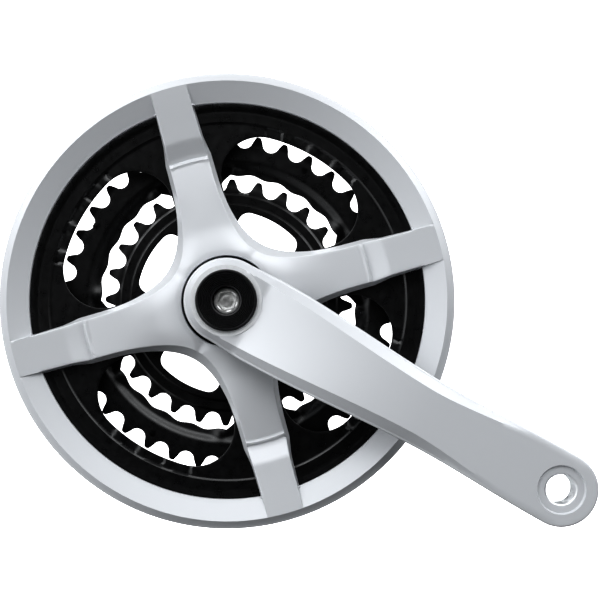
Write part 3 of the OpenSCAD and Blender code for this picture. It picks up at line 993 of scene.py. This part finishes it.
def outer_face(p):
    """The outer ring's face: a coined inner rim with shallow pockets, a fine groove and thinned teeth."""
    r = np.linalg.norm(p, axis=1)
    coin = 0.55 * (1 - smooth((r - COIN_R + 0.5) / 0.7))
    a = np.degrees(np.arctan2(p[:, 1], p[:, 0]))
    step = 360 / MIDDLE_TEETH
    phase = (a - POCKET_PHASE - step / 2) % step
    across = np.radians(np.minimum(phase, step - phase)) * r
    bisector = np.abs((a - STAR_ANGLE) % QUARTER - QUARTER / 2)
    in_pocket = (1 - smooth((across - POCKET_HALF_W) / 0.6)) * (1 - smooth((r - COIN_R + 0.9) / 0.5))
    pocket = 0.75 * in_pocket * (bisector < 17)
    groove = 0.16 * np.exp(-(((r - GROOVE_R) / 0.45) ** 2))
    return OUTER_FACE - coin - pocket - groove - tooth_chamfer(r, OUTER_TEETH, 0.5)


def outer_back(p):
    r = np.linalg.norm(p, axis=1)
    return OUTER_BACK + tooth_chamfer(r, OUTER_TEETH, 0.6)


def ring_piece(name, node, loops, face, back, radii, spacing=1.3):
    s = sizes()
    shell = Shell()
    relief(shell, loops, loops, face, back, polar_grid(radii, spacing), spacing, s.stamped_edge)
    points, faces = shell.merged()
    return add_piece(name, points, faces, node, ROTOR, finish(black_coating), 30)


def web_windows(window):
    """Four copies of a window, midway between the guard's arms."""
    return [turned(window, STAR_ANGLE + QUARTER * (k + 0.5)) for k in range(GUARD_ARMS)]


def build_outer_ring():
    root = root_radius(OUTER_TEETH)
    loops = [gear_loop(OUTER_TEETH, 2.0), circle(LAND_R + 0.07, 0.9, clockwise=True)]
    loops += web_windows(spoke_window(78.7, 18.2, 12, 27, 7))
    radii = [
        *np.arange(19, 78, 1.6), 79.4, 80.6, 81.8, 82.4, 82.8, 83.2, 83.7, 84.6, 86, 87.4, 88.1, GROOVE_R,
        89.1, 90.2, 91.6, root, root + 1, root + 2.4, root + 3.8,
    ]
    return ring_piece("Outer_chainring", "outer_chainring", loops, outer_face, outer_back, radii)


SCALLOPS = 28
MIDDLE_BORE_R = 60.5


def middle_bore():
    """The middle ring's scalloped bore with four rivet tabs, as a clockwise loop."""
    side = [
        (57.9, 17.0), (56.2, 13.4), (54.3, 11.5), (52.3, 11.0), (50.4, 10.3), (49.3, 8.6), (49.0, 5.5), (49.0, 0),
    ]
    tab = eased_curve(side, 4)
    whole = np.concatenate([tab, (tab * (1, -1))[::-1][1:]])
    start = math.degrees(math.atan2(side[0][1], side[0][0]))
    parts = []
    for k in range(GUARD_ARMS):
        at = STAR_ANGLE - QUARTER * k
        a = np.linspace(QUARTER - start, start, 64)[1:-1] + at
        r = MIDDLE_BORE_R + 0.6 * np.cos(np.radians(SCALLOPS * (a - 2.5)))
        parts += [np.stack([r * np.cos(np.radians(a)), r * np.sin(np.radians(a))], 1), turned(whole, at)]
    return joined(*parts)


def middle_relief(p):
    """How far the middle ring's metal is pressed back."""
    u, v = around_arms(p)
    r = np.linalg.norm(p, axis=1)
    lip = 2.0 * (1 - smooth((r - 62.5) / 4.6))
    a = np.degrees(np.arctan2(v, u))
    bump = np.exp(-(((r - 62.0) / 2.6) ** 2) - (((a - 18.5) * np.radians(r) / 3.4) ** 2))
    return lip - 1.5 * bump


def middle_face(p):
    r = np.linalg.norm(p, axis=1)
    return MIDDLE_FACE - middle_relief(p) - tooth_chamfer(r, MIDDLE_TEETH, 0.45)


def middle_back(p):
    r = np.linalg.norm(p, axis=1)
    return MIDDLE_FACE - PLATE - middle_relief(p) + tooth_chamfer(r, MIDDLE_TEETH, 0.45)


def build_middle_ring():
    root = root_radius(MIDDLE_TEETH)
    loops = [gear_loop(MIDDLE_TEETH, -1.05), middle_bore()]
    radii = [
        *np.arange(50.2, 62, 1.2), 62.6, 63.4, 64.2, 65, 65.8, 66.6, 67.3, 68.4, 69.8, 71.3,
        root, root + 1.2, root + 2.6, root + 4,
    ]
    return ring_piece("Middle_chainring", "middle_chainring", loops, middle_face, middle_back, radii, 1.1)


def web_window(start, outer, half_w, corner):
    """A window in the inner ring's web as a clockwise loop, with its middle along X."""
    y = half_w - corner
    x = math.sqrt((outer - corner) ** 2 - y * y)
    a = math.degrees(math.atan2(y, x))
    low = joined(arc((start + corner, -y), corner, 180, 270, 8), arc((x, -y), corner, 270, 360 - a, 8))
    whole = np.concatenate([low, arc((0, 0), outer, -a, a, 20), (low * (1, -1))[::-1]])
    return evenly(np.concatenate([whole, whole[:1]]), 0.9)[:-1][::-1]


def inner_relief(r):
    """Two pressed steps between the inner ring's web and its teeth."""
    return 1.3 * smooth((r - 46.3) / 1.2) + 1.3 * smooth((r - 51.0) / 1.2)


def inner_face(p):
    r = np.linalg.norm(p, axis=1)
    return WEB_FACE - inner_relief(r) - tooth_chamfer(r, INNER_TEETH, 0.45)


def inner_back(p):
    r = np.linalg.norm(p, axis=1)
    return WEB_FACE - PLATE - inner_relief(r) + tooth_chamfer(r, INNER_TEETH, 0.45)


def build_inner_ring():
    root = root_radius(INNER_TEETH)
    loops = [gear_loop(INNER_TEETH, 4.9), circle(22, 0.9, clockwise=True)]
    loops += web_windows(web_window(27, 43.8, 15.3, 5))
    radii = [
        *np.arange(23.4, 45, 1.5), 45.4, 46.3, 46.7, 47.1, 47.5, 48.6, 49.8, 51, 51.4, 51.8, 52.2,
        root + 0.9, root + 2.2, root + 3.6,
    ]
    return ring_piece("Inner_chainring", "inner_chainring", loops, inner_face, inner_back, radii, 1.0)


# ---------------------------------------------------------------- operators

FASTENERS = (
    "bolt_washer", "guard_screws", "middle_rivets", "inner_rivets", "middle_spacers", "inner_spacers",
)
PINS = ("outer_shift_pins", "middle_shift_pins")


class CRANKSET_OT_arm(bpy.types.Operator):
    """Build the forged arm, the hub barrel behind it and the thread in the pedal eye"""

    bl_idname = "crankset.arm"
    bl_label = "Crank arm"

    def execute(self, context):
        build_arm()
        build_hub_barrel()
        build_pedal_thread()
        return {"FINISHED"}


class CRANKSET_OT_bolt(bpy.types.Operator):
    """Build the crank bolt with its hexagonal socket"""

    bl_idname = "crankset.bolt"
    bl_label = "Crank bolt"

    def execute(self, context):
        build_bolt()
        return {"FINISHED"}


class CRANKSET_OT_cap(bpy.types.Operator):
    """Build the ribbed cap round the crank bolt"""

    bl_idname = "crankset.cap"
    bl_label = "Bolt cap"

    def execute(self, context):
        build_cap()
        return {"FINISHED"}


class CRANKSET_OT_guard(bpy.types.Operator):
    """Build the chain guard with its ring and four arms"""

    bl_idname = "crankset.guard"
    bl_label = "Chain guard"

    def execute(self, context):
        build_guard()
        return {"FINISHED"}


class CRANKSET_OT_chainrings(bpy.types.Operator):
    """Build the three stamped chainrings"""

    bl_idname = "crankset.chainrings"
    bl_label = "Chainrings"

    def execute(self, context):
        build_outer_ring()
        build_middle_ring()
        build_inner_ring()
        return {"FINISHED"}


class CRANKSET_OT_fasteners(bpy.types.Operator):
    """Give the washer, rivets, spacers, screws and shift pins their plated or black finish"""

    bl_idname = "crankset.fasteners"
    bl_label = "Fasteners"

    def execute(self, context):
        for names, maker in ((FASTENERS, bright_zinc), (PINS, black_coating)):
            for name in names:
                node = frame["nodes"][name]
                node.data.materials.clear()
                node.data.materials.append(finish(maker))
        return {"FINISHED"}


class CRANKSET_OT_stage(bpy.types.Operator):
    """Set up the pale floor, the soft lights and the camera"""

    bl_idname = "crankset.stage"
    bl_label = "Stage"

    def execute(self, context):
        build_floor()
        build_lights()
        build_camera()
        return {"FINISHED"}


# ---------------------------------------------------------------- stage


def build_floor():
    """A plain pale floor under the object, which sends it no light and isn't mirrored in it."""
    half, height, centre = 2.5, -0.32, 0.05
    corners = ((-half, -half), (half, -half), (half, half), (-half, half))
    points = [(centre + x, y, height) for x, y in corners]
    mesh = bpy.data.meshes.new("Floor")
    mesh.from_pydata(points, [], [(0, 1, 2, 3)])
    mesh.materials.append(finish(pale_floor))
    floor = bpy.data.objects.new("Floor", mesh)
    bpy.context.scene.collection.objects.link(floor)
    floor.visible_glossy = False
    floor.visible_diffuse = False


def area_light(name, place_at, aim, width, depth, power):
    light = bpy.data.lights.new(name, "AREA")
    light.shape = "RECTANGLE"
    light.size, light.size_y = width, depth
    light.energy = power
    lamp = bpy.data.objects.new(name, light)
    lamp.location = place_at
    lamp.rotation_euler = (Vector(aim) - Vector(place_at)).to_track_quat("-Z", "Y").to_euler()
    bpy.context.scene.collection.objects.link(lamp)


# Brightness of the surroundings against how far a direction points up, to the right, and backwards
UP_LEVELS = (
    (-1.0, 0.01), (-0.6, 0.02), (-0.2, 0.08), (0.05, 0.28),
    (0.35, 1.3), (0.62, 4.2), (0.85, 1.1), (1.0, 0.45),
)
RIGHT_LEVELS = ((-1.0, 0.6), (-0.6, 3.0), (-0.3, 0.6), (0.0, 0.15), (0.5, 0.3), (0.8, 0.06), (1.0, 0.04))
BACK_LEVELS = ((-1.0, 0.12), (-0.93, 0.25), (-0.78, 0.85), (-0.6, 1.0), (1.0, 1.0))


def level_ramp(tree, source, levels):
    """A ramp that turns a direction's component, from -1 to 1, into a brightness."""
    scale = tree.nodes.new("ShaderNodeMapRange")
    scale.inputs["From Min"].default_value = -1
    tree.links.new(source, scale.inputs["Value"])
    ramp = tree.nodes.new("ShaderNodeValToRGB")
    while len(ramp.color_ramp.elements) < len(levels):
        ramp.color_ramp.elements.new(0.5)
    for element, (at, level) in zip(ramp.color_ramp.elements, levels):
        element.position = at / 2 + 0.5
        element.color = (level, level, level, 1)
    tree.links.new(scale.outputs["Result"], ramp.inputs["Fac"])
    return ramp.outputs["Color"]


def combine(tree, operation, a, b):
    node = tree.nodes.new("ShaderNodeMath")
    node.operation = operation
    tree.links.new(a, node.inputs[0])
    tree.links.new(b, node.inputs[1])
    return node.outputs["Value"]


def build_lights():
    """Surroundings that light the object from above and the left but look white, and a strip light above."""
    world = bpy.data.worlds.new("Studio")
    bpy.context.scene.world = world
    world.use_nodes = True
    tree = world.node_tree
    place_node = tree.nodes.new("ShaderNodeTexCoord")
    split = tree.nodes.new("ShaderNodeSeparateXYZ")
    tree.links.new(place_node.outputs["Generated"], split.inputs["Vector"])
    up = level_ramp(tree, split.outputs["Z"], UP_LEVELS)
    right = level_ramp(tree, split.outputs["X"], RIGHT_LEVELS)
    back = level_ramp(tree, split.outputs["Y"], BACK_LEVELS)
    lower = level_ramp(tree, split.outputs["Z"], ((-1.0, 0.0), (0.0, 1.0), (1.0, 1.0)))
    level = combine(tree, "MAXIMUM", up, combine(tree, "MULTIPLY", right, lower))
    level = combine(tree, "MULTIPLY", level, back)
    surroundings = tree.nodes["Background"]
    surroundings.inputs["Color"].default_value = (0.98, 1.0, 1.02, 1)
    tree.links.new(level, surroundings.inputs["Strength"])
    white = tree.nodes.new("ShaderNodeBackground")
    white.inputs["Color"].default_value = (1, 1, 1, 1)
    white.inputs["Strength"].default_value = 3.0
    seen = tree.nodes.new("ShaderNodeMixShader")
    tree.links.new(tree.nodes.new("ShaderNodeLightPath").outputs["Is Camera Ray"], seen.inputs["Fac"])
    tree.links.new(surroundings.outputs["Background"], seen.inputs[1])
    tree.links.new(white.outputs["Background"], seen.inputs[2])
    tree.links.new(seen.outputs["Shader"], tree.nodes["World Output"].inputs["Surface"])
    area_light("Strip_light", (-0.02, -0.62, 0.68), (0, 0, 0), width=0.9, depth=0.12, power=1.0)


SENSOR = 36
LENS = 76.14
CAMERA_FROM_MIDDLE_RING = 600.0
CAMERA_SIDE, CAMERA_DROP = 22.6, 17.3
SHIFT = (0.0397, 0.0645)


def build_camera():
    scene = bpy.context.scene
    data = bpy.data.cameras.new("Camera")
    data.sensor_width = SENSOR
    data.lens = LENS
    data.shift_x, data.shift_y = SHIFT
    data.clip_start, data.clip_end = 0.01, 20
    camera = bpy.data.objects.new("Camera", data)
    middle = MIDDLE_FACE - PLATE / 2
    camera.location = (CAMERA_SIDE * MM, -(middle + CAMERA_FROM_MIDDLE_RING) * MM, -CAMERA_DROP * MM)
    camera.rotation_euler = (math.radians(90), 0, 0)
    scene.collection.objects.link(camera)
    scene.camera = camera
    scene.view_settings.view_transform = "Standard"
    scene.view_settings.look = "High Contrast"
    scene.view_settings.exposure = -0.7


# ---------------------------------------------------------------- add-on


class CRANKSET_PT_panel(bpy.types.Panel):
    """Lists the crankset's sizes, colours and build steps"""

    bl_label = "Crankset"
    bl_idname = "CRANKSET_PT_panel"
    bl_space_type = "VIEW_3D"
    bl_region_type = "UI"
    bl_category = "Crankset"

    def draw(self, context):
        layout = self.layout
        for group in (context.scene.crankset_sizes, context.scene.crankset_colours):
            for key in group.__annotations__:
                layout.prop(group, key)
        for operator in OPERATORS:
            layout.operator(operator.bl_idname)


OPERATORS = (
    CRANKSET_OT_arm, CRANKSET_OT_bolt, CRANKSET_OT_cap, CRANKSET_OT_guard, CRANKSET_OT_chainrings,
    CRANKSET_OT_fasteners, CRANKSET_OT_stage,
)
CLASSES = (CranksetSizes, CranksetColours, *OPERATORS, CRANKSET_PT_panel)


def register():
    for cls in CLASSES:
        bpy.utils.register_class(cls)
    bpy.types.Scene.crankset_sizes = bpy.props.PointerProperty(type=CranksetSizes)
    bpy.types.Scene.crankset_colours = bpy.props.PointerProperty(type=CranksetColours)


def unregister():
    del bpy.types.Scene.crankset_colours
    del bpy.types.Scene.crankset_sizes
    for cls in reversed(CLASSES):
        bpy.utils.unregister_class(cls)


def main():
    register()
    bpy.ops.crankset.arm()
    bpy.ops.crankset.bolt()
    bpy.ops.crankset.cap()
    bpy.ops.crankset.guard()
    bpy.ops.crankset.chainrings()
    bpy.ops.crankset.fasteners()
    bpy.ops.crankset.stage()


if __name__ == "__main__":
    main()
